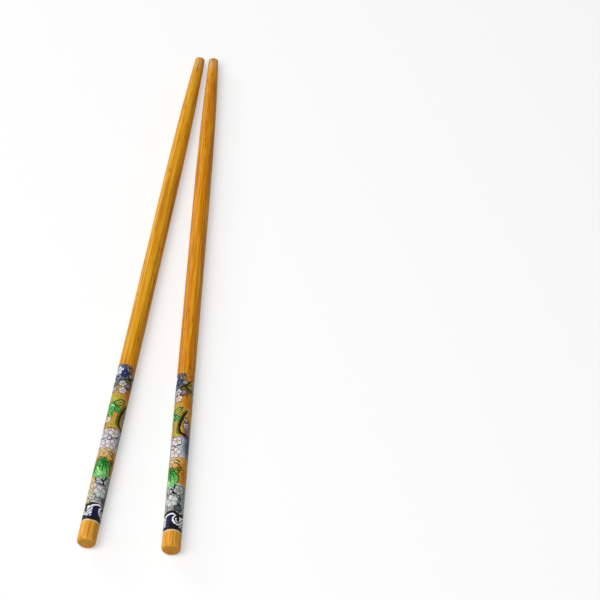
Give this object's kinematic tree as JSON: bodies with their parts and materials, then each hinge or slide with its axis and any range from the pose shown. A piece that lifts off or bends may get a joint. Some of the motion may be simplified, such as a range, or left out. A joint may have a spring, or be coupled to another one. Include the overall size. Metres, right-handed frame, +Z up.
{
  "type": "pair of bamboo chopsticks",
  "caption": "Round tapered bamboo chopsticks for eating, lying in a narrow V with a printed flower band near the handle ends.",
  "frame": {"origin": "on the table, in the middle of the box around both sticks", "axes": "+Y from the handle ends to the tips, +X to the right-hand stick, +Z up from the table"},
  "size_m": [0.0374, 0.2398, 0.007],
  "materials": {
    "bamboo": "satin lacquer over fine straight bamboo grain, with a printed flower band near the handle end"
  },
  "bodies": {
    "root": {"left_chopstick": "bamboo", "right_chopstick": "bamboo"}
  },
  "joints": []
}
